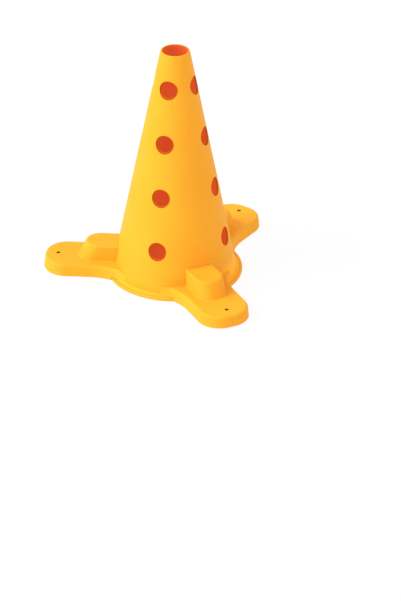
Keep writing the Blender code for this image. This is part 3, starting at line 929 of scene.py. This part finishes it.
# BURNT_ORANGE and PEG_BROWN are painted shade. RING_GLOW, FOOT_GLOW, DISC_GLOW and PEG_GLOW are painted light:
# emission that lifts dark places.
BURNT_ORANGE = (0.42, 0.075, 0.003, 1)
RING_GLOW = (0.26, 0.040, 0.001, 1)
FOOT_GLOW = (0.50, 0.24, 0.016, 1)
DISC_GLOW = (0.04, 0.02, 0.001, 1)
PEG_BROWN = (0.16, 0.065, 0.004, 1)
PEG_GLOW = (0.13, 0.055, 0.001, 1)
BLACK = (0, 0, 0, 1)
HOLE_PITCH = HOLE_HEIGHTS[1] - HOLE_HEIGHTS[0]


def moulded_yellow(name, roughness):
    settings = {"IOR": 1.46, "Specular IOR Level": 0.10, "Emission Strength": 1.0}
    recipe = Recipe(name, settings)
    clouds = recipe.between(recipe.noise(14.0, 4.0), 0.38, 0.66)
    grain = recipe.noise(1500.0, 3.0)
    colour = recipe.mix(clouds * 0.8, YELLOW, DEEP_YELLOW)
    normal = recipe.bump(grain + clouds * 0.4, 0.00006)
    return recipe, colour, normal, roughness + grain * 0.12 + clouds * 0.04


def from_pole_hole(recipe):
    """Distance from the axis of the nearest pole hole; the rows are evenly spaced."""
    x, y, z = recipe.axes()
    above_first = z.larger(HOLE_HEIGHTS[0] - HOLE_PITCH / 2) - HOLE_HEIGHTS[0]
    rise = z.math("PINGPONG", above_first, HOLE_PITCH / 2)
    return (abs(x).smaller(abs(y)) ** 2 + rise**2) ** 0.5


def from_upright(recipe, place_x=0.0, place_y=0.0):
    """Distance from an upright line."""
    x, y, z = recipe.axes()
    return ((x - place_x) ** 2 + (y - place_y) ** 2) ** 0.5


recipe, colour, normal, roughness = moulded_yellow("cone_yellow_plastic", 0.44)
height = recipe.axes()[2]
# Painted shade: burnt orange on the cut edge of each hole and on the inside of the mouth's rim, where the edge
# lies in shade.
hole_shade = recipe.between(from_pole_hole(recipe), HOLE_RADIUS + 0.0008, HOLE_RADIUS + 0.0001)
rim_shade = recipe.between(from_upright(recipe), CONE_TOP_RADIUS - 0.0018, CONE_TOP_RADIUS - 0.0024)
shade = hole_shade.larger(rim_shade * recipe.between(height, 0.365, 0.372))
colour = recipe.mix(shade * 0.9, colour, BURNT_ORANGE)
# Painted light: a glow lifts the shaded rings round the holes and the mouth. A glow at the foot of the cone
# stands for light from below that comes through the disc and the wall, so the foot looks as bright as the
# side.
in_hole = recipe.between(from_pole_hole(recipe), HOLE_RADIUS + 0.0004, HOLE_RADIUS)
in_hole = in_hole.larger(rim_shade * recipe.between(height, 0.365, 0.372))
near_floor = recipe.between(height, 0.036, 0.004)
glow = recipe.mix(in_hole, recipe.mix(near_floor, BLACK, FOOT_GLOW), RING_GLOW)
cone_yellow = recipe.finish(
    Base_Color=colour, Emission_Color=glow, Normal=normal, Roughness=roughness
)

# %% The disc
# The disc gets a faint, patchy painted glow as its emission.
recipe, colour, normal, roughness = moulded_yellow("disc_yellow_plastic", 0.46)
disc_yellow = recipe.finish(
    Base_Color=colour,
    Emission_Color=recipe.mix(recipe.noise(20.0), BLACK, DISC_GLOW),
    Normal=normal,
    Roughness=roughness,
)

# %% The base, darker in its peg holes
recipe, colour, normal, roughness = moulded_yellow("base_yellow_plastic", 0.46)
distances = []
for angle in FOOT_ANGLES.values():
    distances.append(from_upright(recipe, PEG_REACH * math.cos(angle), PEG_REACH * math.sin(angle)))
from_peg = distances[0].smaller(distances[1]).smaller(distances[2])
# Painted shade: dark brown inside the peg holes, where little light gets in.
peg_shade = recipe.between(from_peg, PEG_HOLE_RADIUS + 0.0003, PEG_HOLE_RADIUS)
colour = recipe.mix(peg_shade, colour, PEG_BROWN)
# Painted light: a glow in the peg holes, and a weaker one low on the base beside the cone, lift places that
# would lie in shade.
near_cone = recipe.between(from_upright(recipe), 0.1050, 0.0975)
near_floor = recipe.between(recipe.axes()[2], 0.022, 0.004)
glow = recipe.mix(peg_shade, recipe.mix(near_cone * near_floor * 0.4, BLACK, FOOT_GLOW), PEG_GLOW)
base_yellow = recipe.finish(
    Base_Color=colour, Emission_Color=glow, Normal=normal, Roughness=roughness
)

# %% [markdown]
# ## Red lining
#
# The red inside looks evenly lit, because light comes through the thin walls all round it. A path through
# two plastics would take long to compute, so a weak glow of the same red stands for that light.

# %% Red plastic with a weak glow
RED = (0.38, 0.056, 0.014, 1)
DEEP_RED = (0.34, 0.049, 0.012, 1)
GLOW_RED = (0.735, 0.105, 0.026, 1)
DEEP_GLOW_RED = (0.675, 0.095, 0.023, 1)
GLOW_ORANGE = (0.40, 0.078, 0.001, 1)
recipe = Recipe("lining_red_plastic", {"Specular IOR Level": 0.2, "Emission Strength": 0.60})
clouds = recipe.between(recipe.noise(18.0, 3.0), 0.35, 0.65)
grain = recipe.noise(1200.0, 2.0)
# Painted shade: burnt orange on the ring round each hole, with an orange painted glow on it, so a narrow dark
# ring shows inside each hole of the cone.
hole_shade = recipe.between(from_pole_hole(recipe), HOLE_RADIUS + 0.0012, HOLE_RADIUS + 0.0004)
glow = recipe.mix(clouds, GLOW_RED, DEEP_GLOW_RED)
lining_red = recipe.finish(
    Base_Color=recipe.mix(hole_shade, recipe.mix(clouds, RED, DEEP_RED), BURNT_ORANGE),
    Emission_Color=recipe.mix(hole_shade, glow, GLOW_ORANGE),
    Roughness=0.5 + grain * 0.1,
    Normal=recipe.bump(grain, 0.00008),
)

# %% [markdown]
# ## Underside finishes
#
# The covers have the coarser grain of a spark-eroded mould. The pads are dark matt rubber with dust in their
# pores. The screws are zinc plated: a cold metal whose brightness varies in small spangles. The ballast is
# rough cast iron.

# %% Cover plastic, rubber, zinc and cast iron
recipe = Recipe("cover_grained_plastic", {"Specular IOR Level": 0.4})
grain = recipe.node("ShaderNodeTexVoronoi", sockets={"Vector": recipe.place, "Scale": 1400.0})
clouds = recipe.noise(30.0, 3.0)
cover_plastic = recipe.finish(
    Base_Color=recipe.mix(clouds, (0.86, 0.36, 0.012, 1), (0.78, 0.31, 0.010, 1)),
    Roughness=0.5 + grain * 0.2,
    Normal=recipe.bump(grain, 0.00012),
)

recipe = Recipe("pad_black_rubber", {"Specular IOR Level": 0.3})
pores = recipe.noise(2200.0, 4.0)
dust = recipe.between(recipe.noise(60.0, 5.0), 0.45, 0.75)
pad_rubber = recipe.finish(
    Base_Color=recipe.mix(dust * 0.5, (0.022, 0.022, 0.023, 1), (0.07, 0.065, 0.058, 1)),
    Roughness=0.72 + pores * 0.2,
    Normal=recipe.bump(pores, 0.0001),
)

recipe = Recipe("screw_zinc_plate", {"Metallic": 1.0})
spangle = recipe.node("ShaderNodeTexVoronoi", sockets={"Vector": recipe.place, "Scale": 900.0})
screw_zinc = recipe.finish(
    Base_Color=recipe.mix(spangle, (0.62, 0.63, 0.65, 1), (0.42, 0.43, 0.46, 1)),
    Roughness=0.28 + spangle * 0.2,
    Normal=recipe.bump(recipe.noise(3000.0), 0.00003),
)

recipe = Recipe("ballast_cast_iron", {"Metallic": 0.6})
skin = recipe.noise(500.0, 5.0)
rust = recipe.between(recipe.noise(40.0, 6.0), 0.55, 0.75)
cast_iron = recipe.finish(
    Base_Color=recipe.mix(rust * 0.5, (0.09, 0.09, 0.095, 1), (0.16, 0.07, 0.035, 1)),
    Roughness=0.6 + skin * 0.3,
    Normal=recipe.bump(skin, 0.0004),
)

# %% [markdown]
# ## Joining the pieces to the model
#
# Each new piece rides on the body of the solid that it replaces. The ballast
# blocks are right as they are, so they only get their material.

# %% Ride, replace and paint
dressed = [
    (cone, "cone", "cone_shell", "cone_plastic", cone_yellow),
    (lining, "cone", "cone_liner", "liner_plastic", lining_red),
    (disc, "cone", "cone_disc", "cone_plastic", disc_yellow),
    (base, "base", "base_shell", "base_plastic", base_yellow),
]
for foot_name, plate, rubber in zip(FOOT_ANGLES, covers, pads):
    dressed.append((plate, "base", f"foot_cover_{foot_name}", "cover_plastic", cover_plastic))
    dressed.append((rubber, "base", f"floor_pad_{foot_name}", "pad_rubber", pad_rubber))
for piece, node_name in screws:
    dressed.append((piece, "base", node_name, "screw_steel", screw_zinc))

for piece, body, node_name, slot, material in dressed:
    piece.data.materials.clear()
    piece.data.materials.append(material)
    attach(piece, body)
    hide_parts(node_name)
for foot_name in FOOT_ANGLES:
    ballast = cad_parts[f"ballast_block_{foot_name}"]
    ballast.data.materials.clear()
    ballast.data.materials.append(cast_iron)
print(len(dressed), "pieces replace solids")

# %% [markdown]
# ## Floor, light and camera
#
# The photograph has a plain white ground. The floor is a pale light table, as product photographers use: it
# glows a little, looks white to the camera and still takes a soft shadow. One broad lamp stands to the left
# of the camera, and a plain white room lights the rest. The camera was fitted to the photograph, so it is set
# by numbers.

# %% Floor
FLOOR_DROP = 0.0004
FLOOR_SIZE = 12
SHADOW_SHARE = 0.07
TABLE_SHARE = 0.65


def floor_material():
    recipe = Recipe("floor_board", {"Base Color": (0.86, 0.86, 0.86, 1), "Roughness": 0.9})
    white = recipe.node("ShaderNodeEmission", sockets={"Color": (1, 1, 1, 1), "Strength": 1.0})
    seen = recipe.node("ShaderNodeLightPath", output="Is Camera Ray")
    for other in ("Is Glossy Ray", "Is Transmission Ray"):
        seen = seen.larger(recipe.node("ShaderNodeLightPath", output=other))
    share = seen * (1 - SHADOW_SHARE - TABLE_SHARE) + TABLE_SHARE
    output = recipe.tree.nodes["Material Output"]
    mixed = recipe.node(
        "ShaderNodeMixShader",
        sockets={0: share, 1: Link(recipe, recipe.shader.outputs[0]), 2: white},
    )
    recipe.feed(output.inputs["Surface"], mixed)
    return recipe.material


bpy.ops.object.select_all(action="DESELECT")
bpy.ops.mesh.primitive_plane_add(size=FLOOR_SIZE, location=(0, 0, -FLOOR_DROP))
floor = newest("floor")
floor.data.materials.append(floor_material())

# %% Room light and lamp
AMBIENT = 0.90
KEY = 0.80


def light_room():
    world = bpy.data.worlds.new("white_room")
    bpy.context.scene.world = world
    world.use_nodes = True
    tree = world.node_tree
    path = tree.nodes.new("ShaderNodeLightPath")
    seen = path.outputs["Is Camera Ray"]
    for other in ("Is Glossy Ray", "Is Transmission Ray"):
        either = tree.nodes.new("ShaderNodeMath")
        either.operation = "MAXIMUM"
        tree.links.new(seen, either.inputs[0])
        tree.links.new(path.outputs[other], either.inputs[1])
        seen = either.outputs[0]
    strength = tree.nodes.new("ShaderNodeMapRange")
    strength.inputs["To Min"].default_value = AMBIENT
    tree.links.new(seen, strength.inputs["Value"])
    background = tree.nodes["Background"]
    background.inputs["Color"].default_value = (1, 1, 1, 1)
    tree.links.new(strength.outputs[0], background.inputs["Strength"])


light_room()
camera_turn = math.radians(18.7202)
toward_left = Vector((-math.cos(camera_turn), -math.sin(camera_turn), 0))
toward_camera = Vector((math.sin(camera_turn), -math.cos(camera_turn), 0))
key_from = toward_left * 0.76 + toward_camera * 0.22 + Vector((0, 0, 0.61))
lamp = bpy.data.lights.new("broad_lamp", "SUN")
lamp.energy = math.pi * KEY
lamp.angle = math.radians(35)
lamp_object = bpy.data.objects.new("broad_lamp", lamp)
lamp_object.rotation_euler = key_from.to_track_quat("Z", "Y").to_euler()
bpy.context.scene.collection.objects.link(lamp_object)

# %% Camera
ELEVATION = 29.9502
ROLL = 0.3460
camera = bpy.data.objects.new("camera", bpy.data.cameras.new("camera"))
bpy.context.scene.collection.objects.link(camera)
camera.matrix_world = (
    Matrix.Translation((1.79842, -5.18003, 3.10117))
    @ Matrix.Rotation(camera_turn, 4, "Z")
    @ Matrix.Rotation(math.radians(90 - ELEVATION), 4, "X")
    @ Matrix.Rotation(math.radians(ROLL), 4, "Z")
)
camera.data.lens = 241.03
camera.data.clip_end = 30
bpy.context.scene.camera = camera
bpy.context.scene.view_settings.view_transform = "Standard"
